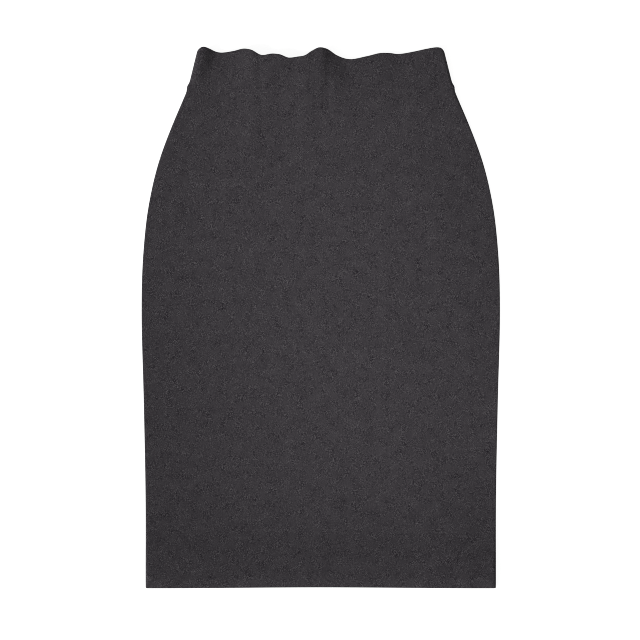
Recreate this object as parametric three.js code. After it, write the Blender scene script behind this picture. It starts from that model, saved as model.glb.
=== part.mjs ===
// A pull-on pencil skirt in charcoal double-knit cloth, laid flat on its back.
// Millimetres. +Z is up from the surface it lies on, +Y runs from the hem to the waist, and +X is the
// wearer's left. The origin is the middle of its footprint, on that surface.
import * as THREE from "three";

// Driving sizes
const LENGTH = 692; // hem corners to the highest wave of the waist
const BAND_DEPTH = 52; // finished waistband
const CLOTH = 1.2; // double-knit cloth
const BAND_WALL = 3.0; // waistband: cloth, wide elastic, cloth
const LAYER_GAP = 0.7; // air between front and back where they lie on each other
const SEAM_GAP = 0.3; // between two pieces at a seam
const TURN_GAP = 0.3; // between a panel and its own hem allowance
const HEM_TURN = 30; // hem allowance, turned up inside
const HEM_RISE = 1.1; // the hem's middle lies this much nearer the waist than its corners
const HEM_RISE_SHARE = 0.95; // share of the hem's half width that this rise spreads over
const HEM_RISE_FADE = 120; // height above the hem where that rise has faded out
const HEM_CROWN = 3.2; // how far the springy hem stands up behind its folded edge
const HEM_CROWN_UP = 13; // height of that crown above the hem
const HEM_CROWN_FADE = 120; // length over which it sinks again towards the waist
const CORNER = 5.5; // rounding of the waistband's top corners
const BACK_TUCK = 2.5; // the back waistband's top edge lies this far below the front's
const SEAM_SAG = 7; // the front waist seam is cut this much lower in the middle than at the sides
const SIDE_LOOP = 0.4; // a side fold that a ripple lifts grows wider by this share of the lift
const COLOR = 0x3c393c; // charcoal
const WAISTBAND_COLOR = 0x3a373a; // the same cloth, stretched over its elastic

// Half of the flat width, from one side seam to the other, at each height above the hem
const SIDES = [
  { up: 0, half: 224.1 },
  { up: 120, half: 224.4 },
  { up: 240, half: 226.7 },
  { up: 355, half: 229.4 },
  { up: 430, half: 227.1 },
  { up: 490, half: 220.3 },
  { up: 545, half: 207.5 },
  { up: 600, half: 186.9 },
  { up: 620, half: 178.3 },
  { up: 640, half: 169.8 },
];
const BAND_TAPER = 0.2525; // the waistband's side comes in this much for each millimetre up
const SEAM_ROLL = 1.8; // how far the thick end of the waist seam stands out at each side
const SEAM_ROLL_UP = 1.5; // height of that bulge above the seam
const SEAM_ROLL_REACH = 4;

// How far the relaxed waist edge falls below its highest wave, from the wearer's right to the left
const WAIST_EDGE = [
  { across: -158, drop: 2.0 },
  { across: -150, drop: 0.0 },
  { across: -141, drop: 2.6 },
  { across: -135, drop: 5.2 },
  { across: -127, drop: 6.7 },
  { across: -112, drop: 4.9 },
  { across: -98, drop: 2.2 },
  { across: -90, drop: 3.4 },
  { across: -74, drop: 10.6 },
  { across: -62, drop: 8.8 },
  { across: -52, drop: 9.8 },
  { across: -40, drop: 13.9 },
  { across: -30, drop: 12.7 },
  { across: -20, drop: 10.9 },
  { across: -11.5, drop: 5.4 },
  { across: -1, drop: 1.1 },
  { across: 9, drop: 3.1 },
  { across: 20, drop: 10.0 },
  { across: 38, drop: 15.0 },
  { across: 58, drop: 11.5 },
  { across: 80, drop: 7.1 },
  { across: 89, drop: 7.3 },
  { across: 98, drop: 8.4 },
  { across: 120, drop: 5.2 },
  { across: 136, drop: 1.8 },
  { across: 149, drop: 0.0 },
  { across: 158, drop: 2.0 },
];

// Ripples of the relaxed waistband: each crest's place and height at the waist edge, how far its two
// flanks spread, how far down it reaches, and how far it leans sideways for each millimetre down.
// The one with a negative rise is a small dip beside the highest crest.
const RIPPLES = [
  { across: -148.3, rise: 10.5, left: 32, right: 17, reach: 60, lean: -0.27 },
  { across: -89, rise: 3.8, left: 34, right: 15, reach: 106, lean: 0.0 },
  { across: -92, rise: 3.8, left: 52, right: 62, reach: 120, lean: 0.0 },
  { across: -66, rise: 5.2, left: 45, right: 37, reach: 86, lean: 0.0 },
  { across: 0, rise: 9.6, left: 110, right: 37, reach: 66, lean: 0.0 },
  { across: 0, rise: 5.0, left: 80, right: 16, reach: 98, lean: -0.1 },
  { across: -9.5, rise: -1.1, left: 8, right: 7, reach: 34, lean: 0.0 },
  { across: 72, rise: 1.9, left: 34, right: 30, reach: 50, lean: 0.05 },
  { across: 165, rise: 2.4, left: 86, right: 30, reach: 90, lean: 0.0 },
];

// Broad, low swells where the cloth doesn't lie quite flat
const SWELLS = [
  { across: -92, up: 560, rise: 1.3, wide: 34, long: 100, turn: 4 },
  { across: -150, up: 455, rise: 1.1, wide: 85, long: 34, turn: 8 },
  { across: 138, up: 500, rise: 1.2, wide: 46, long: 90, turn: 24 },
  { across: 60, up: 320, rise: 0.9, wide: 110, long: 60, turn: -12 },
  { across: 130, up: 170, rise: 1.0, wide: 60, long: 85, turn: -20 },
  { across: -120, up: 200, rise: 0.9, wide: 70, long: 100, turn: 15 },
  { across: 168, up: 66, rise: 1.8, wide: 76, long: 90, turn: 0 },
];

// Worked out from those
const SEAM = LENGTH - BAND_DEPTH;
const HEM_WALL = 2 * CLOTH + TURN_GAP;
const HEM_HEIGHT = 2 * HEM_WALL + LAYER_GAP;
const BODY_HEIGHT = 2 * CLOTH + LAYER_GAP;
const BAND_HEIGHT = 2 * BAND_WALL + LAYER_GAP;
const FRONT = 1;
const BACK = -1;

// Lengths over which the laid height changes: past the hem allowance, and below the waist seam
const HEM_EASE = { from: HEM_TURN + 1, to: HEM_TURN + 45 };
const BAND_EASE = { from: SEAM - 80, to: SEAM - 8 };

// Where the lower cut of the front waist seam ends: towards the sides, below the seam and above it
const SAG_ACROSS = { from: 110, to: 172 };
const SAG_BELOW = { from: SEAM - 90, to: SEAM };
const SAG_ABOVE = { from: SEAM, to: SEAM + 34 };

// Steps of the curved surfaces, in degrees: round a side, round the hem's fold, and over the top edge
const SIDE_TURNS = [30, 60, 90];
const FOLD_TURNS = [-90, -45, 0, 45, 90];
const EDGE_TURNS = [35, 65];
const EDGE_TIP = 80;

// Heights above the hem where a panel has a row of points: close together over the hem's crown, far
// apart over the flat body, and close again where the ripples run down into it
const BODY_ROWS = { first: 100, step: 25, count: 20 };
const PANEL_ROWS = [
  ...[6, 14, 22, HEM_EASE.from, 46, 60, HEM_EASE.to],
  ...Array.from({ length: BODY_ROWS.count }, (_, i) => BODY_ROWS.first + BODY_ROWS.step * i),
  ...[596, 608, 620, 629, 635, SEAM - SEAM_GAP / 2],
];

// Shares of the waistband's depth where it has a row of points
const BAND_ROWS = [0, 0.07, 0.15, 0.28, 0.42, 0.56, 0.7, 0.83];

// Stations across the flat part of each piece: more where it is more rippled
const STATIONS = { front_panel: 34, back_panel: 8, front_waistband: 74, back_waistband: 40 };

const clamp = THREE.MathUtils.clamp;
const radians = THREE.MathUtils.degToRad;
const ease = THREE.MathUtils.smoothstep;

// A rounded bump, 1 in the middle and 0 from 1 outwards
function hump(t) {
  return Math.abs(t) < 1 ? 0.5 + 0.5 * Math.cos(Math.PI * t) : 0;
}

// A smooth curve through the rows of a table, level wherever the rows turn from up to down
function curve(table, from, to) {
  const x = table.map((row) => row[from]);
  const y = table.map((row) => row[to]);
  const rate = x.slice(1).map((end, i) => (y[i + 1] - y[i]) / (end - x[i]));
  const slope = x.map((_, i) => {
    if (i === 0 || i === x.length - 1) return rate[Math.min(i, rate.length - 1)];
    if (rate[i - 1] * rate[i] <= 0) return 0;
    const before = x[i] - x[i - 1];
    const after = x[i + 1] - x[i];
    return (rate[i - 1] * after + rate[i] * before) / (before + after);
  });
  return (at) => {
    const next = x.findIndex((value) => value > at);
    const i = clamp(next < 0 ? x.length - 2 : next - 1, 0, x.length - 2);
    const span = x[i + 1] - x[i];
    const t = clamp((at - x[i]) / span, 0, 1);
    const rest = 1 - t;
    return (
      rest * rest * ((1 + 2 * t) * y[i] + t * span * slope[i]) +
      t * t * ((3 - 2 * t) * y[i + 1] - rest * span * slope[i + 1])
    );
  };
}

const bodyHalf = curve(SIDES, "up", "half");
const waistDrop = curve(WAIST_EDGE, "across", "drop");

// Half of the flat width at a height above the hem
function halfWidth(up) {
  const half = up < SEAM ? bodyHalf(up) : SIDES.at(-1).half - BAND_TAPER * (up - SEAM);
  return half + SEAM_ROLL * Math.exp(-(((up - SEAM - SEAM_ROLL_UP) / SEAM_ROLL_REACH) ** 2));
}

// Height of the laid skirt where nothing lifts it
function layHeight(up) {
  const hem = (HEM_HEIGHT - BODY_HEIGHT) * (1 - ease(up, HEM_EASE.from, HEM_EASE.to));
  const band = (BAND_HEIGHT - BODY_HEIGHT) * ease(up, BAND_EASE.from, BAND_EASE.to);
  return BODY_HEIGHT + hem + band;
}

// How far the front stands above that: the waist's ripples, the swells and the hem's crown
function lift(across, up) {
  const below = LENGTH - waistDrop(across) - up;
  const past = up - HEM_CROWN_UP;
  let total = HEM_CROWN * hump(past / (past < 0 ? HEM_CROWN_UP : HEM_CROWN_FADE));
  for (const r of RIPPLES) {
    const off = across - r.across - r.lean * below;
    total += r.rise * hump(off / (off < 0 ? r.left : r.right)) * hump(Math.max(below, 0) / r.reach);
  }
  for (const s of SWELLS) {
    const turn = radians(s.turn);
    const dx = across - s.across;
    const dy = up - s.up;
    const off = dx * Math.cos(turn) + dy * Math.sin(turn);
    const along = dy * Math.cos(turn) - dx * Math.sin(turn);
    total += s.rise * hump(off / s.wide) * hump(along / s.long);
  }
  return total;
}

// Places across the cloth, from one side seam over to the other: even steps over the flat part, and a
// quarter turn round each side, where `turn` goes from 0 on the flat to 90 degrees at the seam
function stations(steps) {
  const round = SIDE_TURNS.map(radians);
  const flat = Array.from({ length: steps + 1 }, (_, i) => ({ across: (2 * i) / steps - 1, turn: 0 }));
  const left = round.map((turn) => ({ across: -1, turn })).reverse();
  const right = round.map((turn) => ({ across: 1, turn }));
  return [...left, ...flat, ...right];
}

// How far the front is drawn down round its waist seam
function seamSag(face, across, up) {
  if (face === BACK) return 0;
  const middle = SEAM_SAG * (1 - ease(Math.abs(across), SAG_ACROSS.from, SAG_ACROSS.to));
  return middle * ease(up, SAG_BELOW.from, SAG_BELOW.to) * (1 - ease(up, SAG_ABOVE.from, SAG_ABOVE.to));
}

// Radius of the curl that joins front and back at a side, where `side` is -1 or 1
function sideRoll(side, up) {
  return layHeight(up) / 2 + SIDE_LOOP * lift(side * halfWidth(up), up);
}

// The top of the waistband at a station. The band narrows upwards, so the height and the place across
// depend on each other, and a few rounds settle both. The corners are rounded down.
function bandTop(station, face) {
  let up = LENGTH;
  for (let round = 0; round < 3; round++) {
    const side = Math.sign(station.across);
    up = LENGTH - waistDrop(station.across * (halfWidth(up) - sideRoll(side, up)));
  }
  const tuck = face === BACK ? BACK_TUCK * (1 - station.across ** 2) : 0;
  return up - tuck - CORNER * (1 - Math.cos(station.turn));
}

// A point of the cloth. `depth` is measured into the wall from its outer face. The front lies on the
// back, and both curl round to meet at the side seams, half way up.
function clothPoint(face, station, up, depth) {
  const side = Math.sign(station.across);
  const half = halfWidth(up);
  const roll = sideRoll(side, up);
  const flat = station.across * (half - roll);
  const middle = (layHeight(up) + lift(flat, up)) / 2;
  const rise = SEAM_GAP / 2 + (middle - SEAM_GAP / 2 - depth) * Math.cos(station.turn);
  const x = flat + side * (roll - depth) * Math.sin(station.turn);
  const bow = HEM_RISE * hump(x / half / HEM_RISE_SHARE) * (1 - ease(up, 0, HEM_RISE_FADE));
  return new THREE.Vector3(x, up + bow - seamSag(face, x, up) - LENGTH / 2, middle + face * rise);
}

// One closed wall of cloth from rows of stations. Each row holds its outer and its inner points.
function wall(name, color, rows) {
  const count = rows[0].outer.length;
  const points = rows.flatMap((row) => [...row.outer, ...row.inner]);
  const outer = (row, k) => row * 2 * count + k;
  const inner = (row, k) => outer(row, k) + count;
  const index = [];
  const quad = (a, b, c, d) => index.push(a, b, c, a, c, d);
  const last = rows.length - 1;
  for (let row = 0; row < last; row++) {
    for (let k = 0; k < count - 1; k++) {
      quad(outer(row, k), outer(row, k + 1), outer(row + 1, k + 1), outer(row + 1, k));
      quad(inner(row, k + 1), inner(row, k), inner(row + 1, k), inner(row + 1, k + 1));
    }
    quad(inner(row, 0), outer(row, 0), outer(row + 1, 0), inner(row + 1, 0));
    quad(outer(row, count - 1), inner(row, count - 1), inner(row + 1, count - 1), outer(row + 1, count - 1));
  }
  for (let k = 0; k < count - 1; k++) {
    quad(inner(0, k), inner(0, k + 1), outer(0, k + 1), outer(0, k));
    quad(outer(last, k), outer(last, k + 1), inner(last, k + 1), inner(last, k));
  }
  const geometry = new THREE.BufferGeometry().setFromPoints(points).setIndex(index);
  geometry.computeVertexNormals();
  const cloth = new THREE.MeshStandardMaterial({ color, roughness: 0.95, metalness: 0 });
  const mesh = new THREE.Mesh(geometry, cloth);
  mesh.name = name;
  return mesh;
}

// Stations in the order that turns the wall's outer points outwards: the back is seen from below
function ordered(face, steps) {
  return face === FRONT ? stations(steps) : stations(steps).reverse();
}

// A panel in one length: hem allowance, round the folded hem, and up to the waist seam
function panel(name, face) {
  const fold = HEM_WALL / 2;
  const profile = [HEM_TURN, HEM_TURN / 2].map((up) => ({ up, out: HEM_WALL, in: HEM_WALL - CLOTH }));
  for (const angle of FOLD_TURNS.map(radians)) {
    const up = (radius) => fold - radius * Math.cos(angle);
    const depth = (radius) => fold - radius * Math.sin(angle);
    const inside = fold - CLOTH;
    profile.push({ up: up(fold), out: depth(fold), upIn: up(inside), in: depth(inside) });
  }
  for (const up of PANEL_ROWS) profile.push({ up, out: 0, in: CLOTH });
  const places = ordered(face, STATIONS[name]);
  const rows = profile.map((row) => ({
    outer: places.map((place) => clothPoint(face, place, row.up, row.out)),
    inner: places.map((place) => clothPoint(face, place, row.upIn ?? row.up, row.in)),
  }));
  return wall(name, COLOR, rows);
}

// A waistband half: cloth folded over the elastic, with a rounded fold along the top
function waistband(name, face) {
  const places = ordered(face, STATIONS[name]);
  const bottom = SEAM + SEAM_GAP / 2;
  const fold = BAND_WALL / 2;
  const row = (height, out, inside) => {
    const points = (depth) =>
      places.map((place) => clothPoint(face, place, height(bandTop(place, face)), depth));
    return { outer: points(out), inner: points(inside) };
  };
  const rows = BAND_ROWS.map((share) => row((top) => bottom + share * (top - bottom), 0, BAND_WALL));
  rows.push(row((top) => top - fold, 0, BAND_WALL));
  for (const angle of EDGE_TURNS.map(radians)) {
    const reach = fold * Math.cos(angle);
    rows.push(row((top) => top - fold + fold * Math.sin(angle), fold - reach, fold + reach));
  }
  const tip = fold * Math.cos(radians(EDGE_TIP));
  rows.push(row((top) => top, fold - tip, fold + tip));
  return wall(name, WAISTBAND_COLOR, rows);
}

const skirt = new THREE.Group();
skirt.add(
  panel("front_panel", FRONT),
  panel("back_panel", BACK),
  waistband("front_waistband", FRONT),
  waistband("back_waistband", BACK),
);

export default skirt;
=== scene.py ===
# %% [markdown]
# # A pencil skirt in charcoal double-knit, laid flat
# The object is a pull-on skirt: two panels sewn together down the sides, and a waistband of the
# same cloth folded over wide elastic. It lies on its back and is seen straight from above.
# This lesson builds it in Blender as four thin shells of cloth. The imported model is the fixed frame:
# it says how big each piece is and where it lies. Each shell takes the place of one of its solids,
# and nothing here moves a solid.

# %% Load the frame
import math

import bpy
import numpy as np
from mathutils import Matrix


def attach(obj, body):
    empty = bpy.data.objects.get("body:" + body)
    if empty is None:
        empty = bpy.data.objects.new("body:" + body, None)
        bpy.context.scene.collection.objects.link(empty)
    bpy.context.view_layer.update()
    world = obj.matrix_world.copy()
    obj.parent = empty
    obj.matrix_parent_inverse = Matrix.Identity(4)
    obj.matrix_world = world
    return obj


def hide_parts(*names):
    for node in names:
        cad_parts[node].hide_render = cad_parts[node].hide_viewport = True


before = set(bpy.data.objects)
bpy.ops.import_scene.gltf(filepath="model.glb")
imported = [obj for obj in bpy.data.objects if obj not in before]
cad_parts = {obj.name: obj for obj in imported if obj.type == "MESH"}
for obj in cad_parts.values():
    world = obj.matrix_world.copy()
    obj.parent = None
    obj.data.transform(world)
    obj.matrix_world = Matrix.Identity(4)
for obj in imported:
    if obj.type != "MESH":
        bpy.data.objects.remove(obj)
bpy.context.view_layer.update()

MM = 0.001
print("nodes:", sorted(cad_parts))

# %% [markdown]
# ## The camera
# The photograph looks straight down on the skirt, from so far away that the lifted waist isn't
# drawn larger than the rest. A parallel projection would do it too, but a long lens four metres up
# is what a studio uses. The picture is 640 pixels wide, and a pixel on the cloth is 1.28 mm, which
# comes from the skirt's real length. The skirt isn't quite in the middle of the picture, so the
# camera stands a little off its middle.

# %% Camera
PICTURE_PX = 640
PIXEL = 1.2795 * MM
CAMERA_HEIGHT = 4.0
SENSOR_MM = 36.0
CLOTH_TOP = 4 * MM  # height of the cloth that the camera looks at
SKIRT_CENTRE_PX = 320.78
HEM_PX = 588.27
LENGTH = 692 * MM  # hem corners to the highest wave of the waist


def make_camera():
    data = bpy.data.cameras.new("overhead_camera")
    data.sensor_width = SENSOR_MM
    data.lens = SENSOR_MM * (CAMERA_HEIGHT - CLOTH_TOP) / (PICTURE_PX * PIXEL)
    camera = bpy.data.objects.new("overhead_camera", data)
    across = (PICTURE_PX / 2 - SKIRT_CENTRE_PX) * PIXEL
    along = (HEM_PX - PICTURE_PX / 2) * PIXEL - LENGTH / 2
    camera.location = (across, along, CAMERA_HEIGHT)
    bpy.context.scene.collection.objects.link(camera)
    bpy.context.scene.camera = camera
    return camera


camera = make_camera()
print("camera at", [round(c, 4) for c in camera.location], "lens", round(camera.data.lens, 1), "mm")

# %% [markdown]
# ## The garment's sizes
# A cutter works from a few measures, and so does this script. They are the same as in the packed
# model, in metres. `SIDES` is half the flat width at each height above the hem. `WAIST_EDGE` is how
# far the relaxed waist edge falls below its highest wave. Heights that say `up` start at the hem.

# %% Driving sizes
BAND_DEPTH = 52 * MM  # finished waistband
CLOTH = 1.2 * MM  # double-knit cloth
BAND_WALL = 3.0 * MM  # waistband: cloth, wide elastic, cloth
LAYER_GAP = 0.7 * MM  # air between front and back where they lie on each other
SEAM_GAP = 0.3 * MM  # between front and back at a side seam
TURN_GAP = 0.3 * MM  # between a panel and its own hem allowance
HEM_TURN = 30 * MM  # hem allowance, turned up inside
HEM_RISE = 1.1 * MM  # the hem's middle lies this much nearer the waist than its corners
HEM_RISE_SHARE = 0.95  # share of the hem's half width that this rise spreads over
HEM_RISE_FADE = 120 * MM  # height above the hem where that rise has faded out
HEM_CROWN = 3.2 * MM  # how far the springy hem stands up behind its folded edge
HEM_CROWN_UP = 13 * MM  # height of that crown above the hem
HEM_CROWN_FADE = 120 * MM  # length over which it sinks again towards the waist
CORNER = 5.5 * MM  # rounding of the waistband's top corners
BACK_TUCK = 2.5 * MM  # the back waistband's top edge lies this far below the front's
SEAM_SAG = 7 * MM  # the front waist seam is cut this much lower in the middle than at the sides
SIDE_LOOP = 0.4  # a side fold that a ripple lifts grows wider by this share of the lift
BAND_TAPER = 0.2525  # the waistband's side comes in this much for each millimetre up
SEAM_ROLL = 1.8 * MM  # how far the thick end of the waist seam stands out at each side
SEAM_ROLL_UP = 1.5 * MM  # height of that bulge above the seam
SEAM_ROLL_REACH = 4 * MM  # how far above and below that height it fades
HIP_UP = 355 * MM  # height of the widest place
FRONT = 1
BACK = -1

# worked out from those
SEAM = LENGTH - BAND_DEPTH
HEM_WALL = 2 * CLOTH + TURN_GAP
HEM_HEIGHT = 2 * HEM_WALL + LAYER_GAP
BODY_HEIGHT = 2 * CLOTH + LAYER_GAP
BAND_HEIGHT = 2 * BAND_WALL + LAYER_GAP

# lengths over which the laid height changes: past the hem allowance, and below the waist seam
HEM_EASE = (HEM_TURN + 1 * MM, HEM_TURN + 45 * MM)
BAND_EASE = (SEAM - 80 * MM, SEAM - 8 * MM)

# where the lower cut of the front waist seam ends: towards the sides, below the seam and above it
SEAM_SAG_ACROSS = (110 * MM, 172 * MM)
SEAM_SAG_BELOW = (SEAM - 90 * MM, SEAM)
SEAM_SAG_ABOVE = (SEAM, SEAM + 34 * MM)

# columns: height above the hem, half of the flat width, in millimetres
SIDES = [
    (0, 224.1),
    (120, 224.4),
    (240, 226.7),
    (355, 229.4),
    (430, 227.1),
    (490, 220.3),
    (545, 207.5),
    (600, 186.9),
    (620, 178.3),
    (640, 169.8),
]
WAIST_HALF = SIDES[-1][1] * MM - BAND_TAPER * BAND_DEPTH

# columns: place across, drop below the highest wave, in millimetres
WAIST_EDGE = [
    (-158, 2.0),
    (-150, 0.0),
    (-141, 2.6),
    (-135, 5.2),
    (-127, 6.7),
    (-112, 4.9),
    (-98, 2.2),
    (-90, 3.4),
    (-74, 10.6),
    (-62, 8.8),
    (-52, 9.8),
    (-40, 13.9),
    (-30, 12.7),
    (-20, 10.9),
    (-11.5, 5.4),
    (-1, 1.1),
    (9, 3.1),
    (20, 10.0),
    (38, 15.0),
    (58, 11.5),
    (80, 7.1),
    (89, 7.3),
    (98, 8.4),
    (120, 5.2),
    (136, 1.8),
    (149, 0.0),
    (158, 2.0),
]

# %% [markdown]
# ## Ripples and swells
# Elastic pulls the waistband shorter than the cloth it holds, so when nobody wears the skirt the
# band stands up in a few soft ripples, most with one gentle and one steep flank. They could come
# from a cloth simulation, but then they wouldn't fall where the photograph has them. Here each
# ripple is a rounded hump placed one by one, and some lean to the side as they run down. A broad hump
# and a narrow one share a crest where a sharp ridge stands on a soft swell, and the row with a
# negative rise is a small dip beside the highest crest.
#
# The body lies almost flat, with low, broad swells and a few faint creases. The front waist seam is
# cut lower in the middle than at the sides, so `seam_sag` draws the rows of points round it down.

# %% Ripples and swells
# columns: crest's place across, rise, left flank, right flank and reach down in millimetres, and lean,
# which is how far the crest moves across for each millimetre down
RIPPLES = [
    (-148.3, 10.5, 32, 17, 60, -0.27),
    (-89, 3.8, 34, 15, 106, 0.0),
    (-92, 3.8, 52, 62, 120, 0.0),
    (-66, 5.2, 45, 37, 86, 0.0),
    (0, 9.6, 110, 37, 66, 0.0),
    (0, 5.0, 80, 16, 98, -0.1),
    (-9.5, -1.1, 8, 7, 34, 0.0),
    (72, 1.9, 34, 30, 50, 0.05),
    (165, 2.4, 86, 30, 90, 0.0),
]
# columns: place across, height, rise, half width and half length in millimetres, and turn in degrees
SWELLS = [
    (-92, 560, 1.3, 34, 100, 4),
    (-150, 455, 1.1, 85, 34, 8),
    (138, 500, 1.2, 46, 90, 24),
    (60, 320, 0.9, 110, 60, -12),
    (130, 170, 1.0, 60, 85, -20),
    (-120, 200, 0.9, 70, 100, 15),
    (168, 66, 1.8, 76, 90, 0),
]
# soft creases, with the same columns: a negative rise is a trough
FRONT_CREASES = [
    (-75, 558, -0.35, 11, 52, 3),
    (-152, 440, -0.3, 9, 60, 78),
    (-118, 470, 0.25, 12, 45, 62),
    (172, 482, -0.3, 9, 26, 22),
    (158, 178, -0.25, 11, 30, 32),
    (60, 500, -0.2, 10, 40, -18),
    (20, 250, 0.2, 14, 60, 70),
    (-150, 120, -0.2, 12, 38, -25),
]
BACK_CREASES = [
    (70, 470, 0.3, 10, 55, 15),
    (-110, 500, 0.25, 9, 40, -28),
    (150, 300, 0.25, 11, 45, 70),
    (-60, 210, 0.3, 12, 70, 82),
    (90, 90, 0.2, 10, 35, -20),
]
print(len(RIPPLES), "ripples,", len(SWELLS), "swells,", len(FRONT_CREASES + BACK_CREASES), "creases")


# %% Smooth shapes
def hump(t):
    """A rounded bump, 1 in the middle and 0 from 1 outwards."""
    return np.where(np.abs(t) < 1, 0.5 + 0.5 * np.cos(np.pi * np.clip(t, -1, 1)), 0)


def ease(value, start, end):
    """0 before start, 1 after end, and smooth between."""
    t = np.clip((value - start) / (end - start), 0, 1)
    return t * t * (3 - 2 * t)


def curve(table):
    """A smooth curve through a table's rows, level wherever the rows turn from up to down."""
    x, y = np.array(table, float).T * MM
    rate = np.diff(y) / np.diff(x)
    slope = np.concatenate([rate[:1], np.zeros(len(x) - 2), rate[-1:]])
    for i in range(1, len(x) - 1):
        if rate[i - 1] * rate[i] > 0:
            before, after = x[i] - x[i - 1], x[i + 1] - x[i]
            slope[i] = (rate[i - 1] * after + rate[i] * before) / (before + after)

    def at(value):
        i = np.clip(np.searchsorted(x, value, side="right") - 1, 0, len(x) - 2)
        span = x[i + 1] - x[i]
        t = np.clip((value - x[i]) / span, 0, 1)
        start = (1 - t) ** 2 * ((1 + 2 * t) * y[i] + t * span * slope[i])
        return start + t**2 * ((3 - 2 * t) * y[i + 1] - (1 - t) * span * slope[i + 1])

    return at


body_half = curve(SIDES)
waist_drop = curve(WAIST_EDGE)
print("waist", round(4 * WAIST_HALF / MM), "mm round")
print("hips", round(4 * float(body_half(HIP_UP)) / MM), "mm round")


# %% Widths and heights
def half_width(up):
    """Half of the flat width at a height above the hem."""
    band = SIDES[-1][1] * MM - BAND_TAPER * (up - SEAM)
    roll = SEAM_ROLL * np.exp(-(((up - SEAM - SEAM_ROLL_UP) / SEAM_ROLL_REACH) ** 2))
    return np.where(up < SEAM, body_half(up), band) + roll


def lay_height(up):
    """Height of the laid skirt where nothing lifts it."""
    hem = (HEM_HEIGHT - BODY_HEIGHT) * (1 - ease(up, *HEM_EASE))
    return BODY_HEIGHT + hem + (BAND_HEIGHT - BODY_HEIGHT) * ease(up, *BAND_EASE)


def seam_sag(face, across, up):
    """How far the front is drawn down round the waist seam, which is cut lower in the middle."""
    if face == BACK:
        return 0 * across
    middle = SEAM_SAG * (1 - ease(np.abs(across), *SEAM_SAG_ACROSS))
    return middle * ease(up, *SEAM_SAG_BELOW) * (1 - ease(up, *SEAM_SAG_ABOVE))


def relief(rows, across, up):
    """The sum of soft ridges and troughs, each with its own place, size and turn."""
    total = 0 * across
    for place, height, rise, wide, long, turn in rows:
        c, s = math.cos(math.radians(turn)), math.sin(math.radians(turn))
        dx, dy = across - place * MM, up - height * MM
        along = hump((dy * c - dx * s) / (long * MM))
        total = total + rise * MM * hump((dx * c + dy * s) / (wide * MM)) * along
    return total


def lift(across, up):
    """How far the front stands above the laid height."""
    below = LENGTH - waist_drop(across) - up
    past = up - HEM_CROWN_UP
    total = HEM_CROWN * hump(past / np.where(past < 0, HEM_CROWN_UP, HEM_CROWN_FADE))
    for place, rise, left, right, reach, lean in RIPPLES:
        off = across - place * MM - lean * below
        flank = np.where(off < 0, left, right) * MM
        total = total + rise * MM * hump(off / flank) * hump(np.maximum(below, 0) / (reach * MM))
    return total + relief(SWELLS, across, up)


print("highest ripple", round(float(lift(-4 * MM, LENGTH) / MM), 1), "mm")

# %% [markdown]
# ## A wall of cloth
# Real cloth has a face, an inside and cut edges, so each piece is a closed shell and not a single
# surface. Rows run up the garment and stations run across it. At every row and station there is one
# point on the outer face and one straight inside it, and the two skins are joined round the edges.
# The front lies on the back, and both curl round to meet half way up at the side seams. A single
# surface with a Solidify modifier would be quicker, but here every edge has a rounding of its own.

# %% Stations and points
SIDE_TURNS = [15, 30, 45, 60, 75, 86, 90]  # steps of the curl round a side, in degrees
SEAM_TURN = 89  # a step past this many degrees lies on the seam
SEAM_DIP = 0.35 * MM  # how far the seam draws the cloth in


def stations(step, half):
    """Places from the right seam to the left: share of the half width, and turn round the side."""
    count = round(2 * half / step)
    flat = [(2 * i / count - 1, 0) for i in range(count + 1)]
    left = [(-1, math.radians(a)) for a in reversed(SIDE_TURNS)]
    right = [(1, math.radians(a)) for a in SIDE_TURNS]
    return np.array(left + flat + right).T


def side_roll(side, up):
    """Radius of the curl that joins front and back at a side. It is larger where a ripple lifts it."""
    return lay_height(up) / 2 + SIDE_LOOP * lift(side * half_width(up), up)


def cloth_points(face, places, up, depth):
    """Points of one row, as an array of x, y, z. depth is measured inwards from the outer face."""
    share, turn = places
    side = np.sign(share)
    half = half_width(up)
    roll = side_roll(side, up)
    flat = share * (half - roll)
    dip = SEAM_DIP * (turn > math.radians(SEAM_TURN)) * (depth < CLOTH / 2)
    reach = (roll - depth - dip) * np.sin(turn)
    x = flat + side * reach
    middle = (lay_height(up) + lift(flat, up)) / 2
    rise = SEAM_GAP / 2 + (middle - SEAM_GAP / 2 - depth) * np.cos(turn)
    bow = HEM_RISE * hump(x / half / HEM_RISE_SHARE) * (1 - ease(up, 0, HEM_RISE_FADE))
    crease = relief(FRONT_CREASES if face == FRONT else BACK_CREASES, x, up) * np.cos(turn)
    y = up + bow - seam_sag(face, x, up) - LENGTH / 2
    return np.stack([x, y, middle + face * rise + crease], axis=1)


def ordered(face, places):
    """The places in the order that turns the outer face outwards: the back is seen from below."""
    return places if face == FRONT else places[:, ::-1]


print("radius of the curl at the hips", round(float(side_roll(1, HIP_UP)) / MM, 2), "mm")

# %% Shell builder
SHARP_ANGLE = 50  # an edge is shaded sharp where its faces meet at more than this many degrees
BACK_MAP_SHIFT = 5.0  # moves the back's part of the pattern away from the front's, in metres


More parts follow.
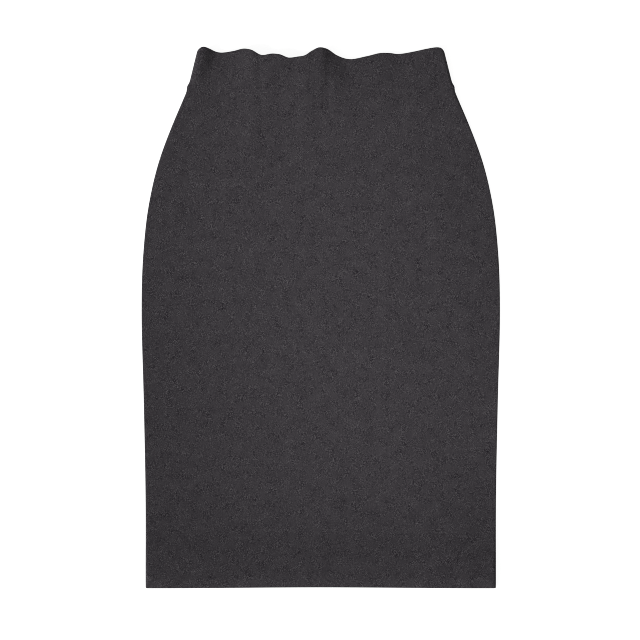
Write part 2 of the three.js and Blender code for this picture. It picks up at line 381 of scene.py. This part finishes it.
def shell(name, rows, uvs):
    """A closed shell of cloth. Each row is (outer points, inner points), and uvs holds each row's map."""
    count = len(rows[0][0])
    points = np.concatenate([np.concatenate(row) for row in rows])
    flat_map = np.concatenate([np.concatenate([uv, uv]) for uv in uvs])
    grid = np.arange(len(rows))[:, None] * 2 * count + np.arange(count)[None, :]
    outer, inner = grid, grid + count

    def quads(a, b, c, d):
        return np.stack([a.ravel(), b.ravel(), c.ravel(), d.ravel()], axis=1)

    def strip(near, far):
        return quads(near[:-1], near[1:], far[1:], far[:-1])

    faces = np.concatenate(
        [
            quads(outer[:-1, :-1], outer[:-1, 1:], outer[1:, 1:], outer[1:, :-1]),
            quads(inner[:-1, 1:], inner[:-1, :-1], inner[1:, :-1], inner[1:, 1:]),
            strip(inner[0], outer[0]),
            strip(outer[-1], inner[-1]),
            strip(outer[:, 0], inner[:, 0]),
            strip(inner[:, -1], outer[:, -1]),
        ]
    )
    mesh = bpy.data.meshes.new(name)
    mesh.from_pydata(points.tolist(), [], faces.tolist())
    layer = mesh.uv_layers.new(name="cloth_map")
    layer.data.foreach_set("uv", flat_map[faces.ravel()].ravel())
    mesh.shade_smooth()
    mesh.set_sharp_from_angle(angle=math.radians(SHARP_ANGLE))
    mesh.update()
    piece = bpy.data.objects.new(name, mesh)
    bpy.context.scene.collection.objects.link(piece)
    print(name, len(points), "points,", 2 * len(faces), "triangles")
    return piece


def build(name, face, places, profile):
    """A shell from a profile. Each row has (up, depth) of the outer face, the same of the inner, and run.

    run is the distance along the cloth. With the distance across, it maps the cloth's pattern.
    """
    share, turn = places = ordered(face, places)
    shift = BACK_MAP_SHIFT if face == BACK else 0
    rows, uvs = [], []
    for (up_out, out), (up_in, inside), run in profile:
        rows.append((cloth_points(face, places, up_out, out), cloth_points(face, places, up_in, inside)))
        round_side = np.sign(share) * turn * lay_height(up_out) / 2
        across = share * (half_width(up_out) - lay_height(up_out) / 2) + round_side
        uvs.append(np.stack([across + shift, run - seam_sag(face, across, up_out)], axis=1))
    return shell(name, rows, uvs)


# %% [markdown]
# ## Front and back panels
# Each panel is one length of cloth. It starts at the raw edge of the hem allowance, runs down
# inside, turns round the folded hem and goes up the outside to the waist seam. The allowance could
# be a strip of its own, but modelled as one path the hem gets its real four layers and its soft
# rounded edge without any extra piece.

# %% Rows of a panel
ROW_STEP = 3 * MM
ACROSS_STEP = 3 * MM
INNER_LAYER = CLOTH + TURN_GAP  # depth of the hem allowance, behind the panel
RAW_EDGE_TURNS = [80, 55, 30, 0]  # steps over the allowance's raw edge, in degrees
ALLOWANCE_ROWS = 6  # rows between the raw edge and the fold
ALLOWANCE_TOP = HEM_TURN - 4 * MM
ALLOWANCE_BOTTOM = HEM_WALL / 2 + 3 * MM
FOLD_TURNS = np.linspace(-90, 90, 9)  # steps round the folded hem, in degrees
# columns: distance back from the seam line and dip of the cloth there, in millimetres. The last row
# goes a little past the line, so that panel and waistband meet at the bottom of the groove.
SEAM_GROOVE = [(1.2, 0.0), (0.6, 0.03), (0.2, 0.1), (-0.15, 0.22)]


def raw_edge_rows():
    """Rows that round off the raw edge of the hem allowance."""
    r = CLOTH / 2
    middle = INNER_LAYER + r
    rows = []
    for angle in np.radians(RAW_EDGE_TURNS):
        up = HEM_TURN - r + r * math.sin(angle)
        reach = r * math.cos(angle)
        rows.append(((up, middle + reach), (up, middle - reach), -HEM_TURN))
    return rows


def fold_rows():
    """Rows round the folded hem, from inside to outside."""
    middle = HEM_WALL / 2
    rows = []
    for angle in np.radians(FOLD_TURNS):
        out, inside = (
            (middle - r * math.cos(angle), middle - r * math.sin(angle)) for r in (middle, middle - CLOTH)
        )
        rows.append((out, inside, middle * float(angle)))
    return rows


def seam_rows(direction, wall):
    """Rows where a wall is drawn a little into the waist seam. direction is 1 for a wall below it."""
    rows = []
    for back, dip in SEAM_GROOVE:
        up = SEAM - direction * back * MM
        rows.append(((up, dip * MM), (up, wall - dip * MM), up))
    return rows if direction > 0 else rows[::-1]


def panel_profile():
    """The whole path of a panel, from the raw edge of its hem allowance to the waist seam."""
    allowance = np.linspace(ALLOWANCE_TOP, ALLOWANCE_BOTTOM, ALLOWANCE_ROWS)
    outside = np.arange(ROW_STEP, SEAM - ROW_STEP, ROW_STEP)
    return [
        *raw_edge_rows(),
        *[((up, HEM_WALL), (up, INNER_LAYER), -up) for up in allowance],
        *fold_rows(),
        *[((up, 0), (up, CLOTH), up) for up in outside],
        *seam_rows(1, CLOTH),
    ]


print("a panel has", len(panel_profile()), "rows")

# %% Both panels
panel_places = stations(ACROSS_STEP, half_width(0.0))
front_panel = build("front_panel_cloth", FRONT, panel_places, panel_profile())
back_panel = build("back_panel_cloth", BACK, panel_places, panel_profile())

# %% [markdown]
# ## The waistband
# The band is cloth folded over elastic, so its wall is three millimetres thick and its top is a
# rounded fold. Cloth and elastic could be separate layers, but the elastic never shows, so one wall
# stands for both. The band needs finer steps than the panels, because the ripples and the wavy edge
# are what the eye goes to. Every row is a share of the way from the seam up to the wave above it.

# %% Rows of the waistband
BAND_STEP = 1.6 * MM
BAND_ROWS = np.linspace(0, 1, 27) ** 0.9  # shares of the way up, a little closer together at the top
BAND_EDGE_TURNS = [12, 24, 36, 48, 60, 72, 82]  # steps over the folded top, in degrees
SETTLING_ROUNDS = 3  # rounds until the height of the top edge and its place across agree


def band_top(face, places):
    """Height of the waistband's top edge at each station, rounded down at the corners.

    The band narrows upwards, so the height and the place across depend on each other.
    """
    share, turn = places
    up = LENGTH
    for _ in range(SETTLING_ROUNDS):
        across = share * (half_width(up) - side_roll(np.sign(share), up))
        up = LENGTH - waist_drop(across)
    tuck = BACK_TUCK * (1 - share**2) if face == BACK else 0
    return up - tuck - CORNER * (1 - np.cos(turn))


def band_profile(face, places):
    """Rows as for a panel. Above the seam, each row has a height of its own at every station."""
    top = band_top(face, ordered(face, places))
    r = BAND_WALL / 2
    rows = seam_rows(-1, BAND_WALL)
    for part in BAND_ROWS:
        up = SEAM + r + part * (top - SEAM - 2 * r)
        rows.append(((up, 0), (up, BAND_WALL), up))
    for angle in np.radians(BAND_EDGE_TURNS):
        up = top - r + r * math.sin(angle)
        depth = r * (1 - math.cos(angle))
        rows.append(((up, depth), (up, BAND_WALL - depth), up))
    return rows


# %% Both halves of the waistband
band_places = stations(BAND_STEP, WAIST_HALF)
front_band = build("front_waistband_cloth", FRONT, band_places, band_profile(FRONT, band_places))
back_band = build("back_waistband_cloth", BACK, band_places, band_profile(BACK, band_places))

# %% [markdown]
# ## Colours and nodes
# Colours are written as sRGB hex values, as a colour picker shows them, and one function turns
# them to the linear values that the shader works in. One more function adds a node with its
# settings and links, so that each material below reads as a list of what it does.


# %% Helpers for materials
def linear(hex_color):
    """An sRGB hex colour as linear red, green, blue and alpha."""
    channels = [int(hex_color[i : i + 2], 16) / 255 for i in (1, 3, 5)]
    return [c / 12.92 if c <= 0.04045 else ((c + 0.055) / 1.055) ** 2.4 for c in channels] + [1]


def add_node(tree, kind, settings=None, **inputs):
    """Adds a node. settings are its properties. inputs are values, sockets or other nodes.

    An input goes by its name, or by its number as i0, i1 and so on. A node gives its first output.
    """
    node = tree.nodes.new(kind)
    for key, value in (settings or {}).items():
        setattr(node, key, value)
    for key, value in inputs.items():
        socket = node.inputs[int(key[1:])] if key[0] == "i" and key[1:].isdigit() else node.inputs[key]
        if isinstance(value, bpy.types.Node):
            value = value.outputs[0]
        if isinstance(value, bpy.types.NodeSocket):
            tree.links.new(value, socket)
        else:
            socket.default_value = value
    return node


def new_material(name):
    material = bpy.data.materials.new(name)
    material.use_nodes = True
    material.node_tree.nodes.clear()
    return material, material.node_tree


print("charcoal #3c393c in linear light:", [round(c, 3) for c in linear("#3c393c")])

# %% [markdown]
# ## Charcoal melange double-knit
# The cloth is a double-knit, also called ponte: two layers of fine jersey knitted together, here in
# viscose and nylon yarn spun from dark and pale fibres. To the eye it is matt charcoal with a
# salt-and-pepper grain, and no stitch shows from a step away. The grain could be an image, but a
# procedural one keeps its scale everywhere. Random cells are the flecks: most are dark and a few are
# pale. They are stronger in some patches than in others. Two slower noises add a mottling, where the
# spinner's blend is uneven, and faint streaks along the wales, which are the columns of stitches.
# The stitches themselves are only a low relief, which scatters the light a little.

# %% Fibres, stitches and finish
DARK_FIBRE = "#29262a"
PALE_FIBRE = "#4f4c4f"
# Real flecks are a fraction of this size, too fine for a pixel of 1.28 mm to show. These are drawn
# coarser, so that the cloth has its grain.
FLECK_WIDE = 0.55 * MM
FLECK_LONG = 0.7 * MM
FLECK_POWER = 3.0  # a higher power makes pale flecks rarer
FLECK_MEAN = 1 / (FLECK_POWER + 1)  # average of a fleck, from dark to pale
# columns: width and length in millimetres, detail of the noise, how much it varies, and its middle
SLOW_NOISES = {
    "patch": (10, 10, 1.0, 2.7, 1.0),  # places where the flecks are stronger or weaker
    "mottle": (17, 17, 2.0, 0.28, FLECK_MEAN),  # uneven places in the spinner's blend
    "streak": (1.6, 6, 0.0, 0.12, 0.0),  # about two wales wide
}
WALE = 0.75 * MM  # width of a stitch
COURSE = 0.65 * MM  # length of a stitch
# Heights of the relief: the two legs of a stitch, the groove between two wales, and a pale fleck
LEG_HEIGHT = 0.3
GROOVE_HEIGHT = -4.0
FIBRE_HEIGHT = 0.5
RELIEF_STRENGTH = 0.3
RELIEF_DEPTH = 0.1 * MM
# matt knitted cloth: rough, hardly glossy, with a trace of sheen from its fuzz
KNIT_FINISH = {
    "Roughness": 0.95,
    "IOR": 1.5,
    "Specular IOR Level": 0.2,
    "Sheen Weight": 0.1,
    "Sheen Roughness": 0.4,
    "Sheen Tint": linear("#b9b3b9"),
}
print("stitches in ten centimetres:", round(100 * MM / WALE), "across and", round(100 * MM / COURSE), "up")


# %% Colour of the yarn
TIMES = {"operation": "MULTIPLY"}
TIMES_PLUS = {"operation": "MULTIPLY_ADD"}  # first times second, plus third


def melange_color(tree, cloth_map):
    """The blend of dark and pale fibres. Gives its colour, and the flecks for the relief."""
    slow = {}
    for name, (wide, long, detail, varies, middle) in SLOW_NOISES.items():
        scale = (1 / (wide * MM), 1 / (long * MM), 1)
        place = add_node(tree, "ShaderNodeVectorMath", TIMES, i0=cloth_map, i1=scale)
        flat = {"noise_dimensions": "2D"}
        noise = add_node(tree, "ShaderNodeTexNoise", flat, Vector=place, Scale=1.0, Detail=detail)
        low = middle - varies / 2
        slow[name] = add_node(tree, "ShaderNodeMath", TIMES_PLUS, i0=noise, i1=varies, i2=low)
    scale = (1 / FLECK_WIDE, 1 / FLECK_LONG, 1)
    place = add_node(tree, "ShaderNodeVectorMath", TIMES, i0=cloth_map, i1=scale)
    cells = add_node(tree, "ShaderNodeTexVoronoi", {"voronoi_dimensions": "2D"}, Vector=place, Scale=1.0)
    fleck = add_node(tree, "ShaderNodeSeparateColor", i0=cells.outputs["Color"])
    rare = add_node(tree, "ShaderNodeMath", {"operation": "POWER"}, i0=fleck, i1=FLECK_POWER)
    varied = add_node(tree, "ShaderNodeMath", {"operation": "SUBTRACT"}, i0=rare, i1=FLECK_MEAN)
    ground = add_node(tree, "ShaderNodeMath", {"operation": "ADD"}, i0=slow["mottle"], i1=slow["streak"])
    blend = add_node(tree, "ShaderNodeMath", TIMES_PLUS, i0=varied, i1=slow["patch"], i2=ground)
    mix = {"data_type": "RGBA", "clamp_factor": False}
    dark, pale = linear(DARK_FIBRE), linear(PALE_FIBRE)
    yarn = add_node(tree, "ShaderNodeMix", mix, i0=blend, i6=dark, i7=pale)
    return yarn.outputs[2], fleck


# %% Relief of the stitches
def stitch_relief(tree, cloth_map, fleck):
    """Columns of V-shaped stitches with a groove between them, and fibres that stand up a little."""
    scale = (1 / WALE, 1 / COURSE, 1)
    place = add_node(tree, "ShaderNodeVectorMath", TIMES, i0=cloth_map, i1=scale)
    stitch = add_node(tree, "ShaderNodeSeparateXYZ", i0=place)
    across = add_node(tree, "ShaderNodeMath", {"operation": "FRACT"}, i0=stitch)
    centred = add_node(tree, "ShaderNodeMath", {"operation": "SUBTRACT"}, i0=across, i1=0.5)
    slant = add_node(tree, "ShaderNodeMath", {"operation": "ABSOLUTE"}, i0=centred)
    row = add_node(tree, "ShaderNodeMath", {"operation": "ADD"}, i0=stitch.outputs[1], i1=slant)
    turn = add_node(tree, "ShaderNodeMath", TIMES, i0=row, i1=2 * math.pi)
    leg = add_node(tree, "ShaderNodeMath", {"operation": "SINE"}, i0=turn)
    fibre = add_node(tree, "ShaderNodeMath", TIMES, i0=fleck, i1=FIBRE_HEIGHT)
    square = add_node(tree, "ShaderNodeMath", TIMES, i0=slant, i1=slant)
    groove = add_node(tree, "ShaderNodeMath", TIMES_PLUS, i0=square, i1=GROOVE_HEIGHT, i2=fibre)
    height = add_node(tree, "ShaderNodeMath", TIMES_PLUS, i0=leg, i1=LEG_HEIGHT, i2=groove)
    return add_node(tree, "ShaderNodeBump", Strength=RELIEF_STRENGTH, Distance=RELIEF_DEPTH, Height=height)


# %% Double-knit material
def double_knit():
    """Charcoal melange double-knit: flecks of pale and dark fibres over fine V-shaped stitches."""
    material, tree = new_material("charcoal_double_knit")
    cloth_map = add_node(tree, "ShaderNodeUVMap", {"uv_map": "cloth_map"})
    color, fleck = melange_color(tree, cloth_map)
    surface = {"Base Color": color, "Normal": stitch_relief(tree, cloth_map, fleck), **KNIT_FINISH}
    shader = add_node(tree, "ShaderNodeBsdfPrincipled", **surface)
    add_node(tree, "ShaderNodeOutputMaterial", Surface=shader)
    return material


knit = double_knit()
print("material", knit.name, "with", len(knit.node_tree.nodes), "nodes")

# %% [markdown]
# ## Dressing the frame
# Each shell stands for one node of the imported model, which is hidden, and rides on its only body.
# The size that each was cut to is printed. The skirt's outline alone would give a size that is too
# small, because the cloth also runs over the ripples and round the sides, so the size is measured
# along the cloth itself.

# %% Dress the frame
CUT_ROWS = 120  # rows of points that a piece is measured with


def cut_size(face, places, bottom, top):
    """Width, length and area of the cloth's outer face between two heights, measured along it."""
    heights = [bottom + part * (top - bottom) for part in np.linspace(0, 1, CUT_ROWS)]
    rows = np.array([cloth_points(face, places, up, 0.0) for up in heights])
    across, along = np.diff(rows, axis=1), np.diff(rows, axis=0)
    wide = np.hypot(across[..., 0], across[..., 2]).sum(axis=1).max()
    long = np.hypot(along[..., 1], along[..., 2]).sum(axis=0).max()
    area = np.linalg.norm(np.cross(across[:-1], along[:, :-1]), axis=2).sum()
    return float(wide), float(long), float(area)


def dress(piece, node, wide, long, area):
    """Gives a shell its cloth and its body, hides the node that it stands for and prints its cut."""
    piece.data.materials.append(knit)
    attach(piece, "root")
    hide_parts(node)
    print(node, "cut", round(wide / MM), "by", round(long / MM), "mm,", round(area, 4), "square metres")


hem_area = 2 * float(half_width(0.0)) * HEM_TURN
for piece, node, face in ((front_panel, "front_panel", FRONT), (back_panel, "back_panel", BACK)):
    wide, long, area = cut_size(face, panel_places, 0.0, SEAM)
    dress(piece, node, wide, long + HEM_TURN, area + hem_area)
for piece, node, face in ((front_band, "front_waistband", FRONT), (back_band, "back_waistband", BACK)):
    wide, long, area = cut_size(face, band_places, SEAM, band_top(face, band_places))
    dress(piece, node, wide, long, area)

# %% [markdown]
# ## The white table
# The skirt lies on a white table, which is lit from inside so that it comes out pure white. A
# stronger lamp could whiten a plain table too, but it would make the charcoal cloth too pale.

# %% Floor
FLOOR_SIZE = 8.0  # metres
FLOOR_DROP = 0.3 * MM  # the table lies this far below the cloth, so that no faces coincide
FLOOR_GLOW = 0.9
FLOOR_COLOR = "#959595"
FLOOR_ROUGHNESS = 0.8


def make_floor():
    half = FLOOR_SIZE / 2
    mesh = bpy.data.meshes.new("studio_floor")
    corners = [(x * half, y * half, -FLOOR_DROP) for x, y in ((-1, -1), (1, -1), (1, 1), (-1, 1))]
    mesh.from_pydata(corners, [], [(0, 1, 2, 3)])
    floor = bpy.data.objects.new("studio_floor", mesh)
    bpy.context.scene.collection.objects.link(floor)
    material, tree = new_material("white_table")
    surface = {
        "Base Color": linear(FLOOR_COLOR),
        "Roughness": FLOOR_ROUGHNESS,
        "Emission Color": linear("#ffffff"),
        "Emission Strength": FLOOR_GLOW,
    }
    shader = add_node(tree, "ShaderNodeBsdfPrincipled", **surface)
    add_node(tree, "ShaderNodeOutputMaterial", Surface=shader)
    mesh.materials.append(material)
    return floor


floor = make_floor()
print(floor.name, "is", FLOOR_SIZE, "m wide")

# %% [markdown]
# ## Light
# The key light comes from the left and a little from the hem, low enough to darken the steep right
# flanks of the ripples. A large softbox could be an area light, but a sun lamp with a wide angle
# lights the whole skirt alike. A weak panel above the skirt makes its middle a little brighter than
# its edges, and white surroundings fill the shadows. A narrow pixel filter, and a denoiser that
# doesn't smooth its own guides, keep the fine grain of the cloth.

# %% Lights
# tilts, turns and softness are in degrees, places and sizes in metres
KEY_PLACE = (-2, -1, 2)  # a sun lamp shines alike from anywhere, so this only marks its side
KEY_TILT = 58
KEY_TURN = 212
KEY_STRENGTH = 3.3
KEY_SOFTNESS = 25
PANEL_PLACE = (0.024, 0.014, 0.13)
PANEL_TILT = 0
PANEL_TURN = 15
PANEL_POWER = 0.3
PANEL_WIDE = 0.38
PANEL_LONG = 0.56
WORLD_STRENGTH = 0.28
PIXEL_FILTER = 1.0


def add_light(name, kind, location, tilt, turn, **settings):
    """Adds a light that shines from tilt degrees off the vertical, on the side that turn gives."""
    data = bpy.data.lights.new(name, kind)
    for key, value in settings.items():
        setattr(data, key, value)
    light = bpy.data.objects.new(name, data)
    light.location = location
    light.rotation_euler = (0, math.radians(tilt), math.radians(turn))
    light.visible_camera = False
    bpy.context.scene.collection.objects.link(light)
    return light


softness = math.radians(KEY_SOFTNESS)
add_light("left_key", "SUN", KEY_PLACE, KEY_TILT, KEY_TURN, energy=KEY_STRENGTH, angle=softness)
panel_shape = {"shape": "RECTANGLE", "size": PANEL_WIDE, "size_y": PANEL_LONG}
add_light("overhead_panel", "AREA", PANEL_PLACE, PANEL_TILT, PANEL_TURN, energy=PANEL_POWER, **panel_shape)
world = bpy.data.worlds.new("white_room")
world.use_nodes = True
background = world.node_tree.nodes["Background"]
background.inputs["Color"].default_value = linear("#ffffff")
background.inputs["Strength"].default_value = WORLD_STRENGTH
scene = bpy.context.scene
scene.world = world
scene.view_settings.view_transform = "Standard"
scene.cycles.filter_width = PIXEL_FILTER
scene.cycles.denoising_prefilter = "NONE"
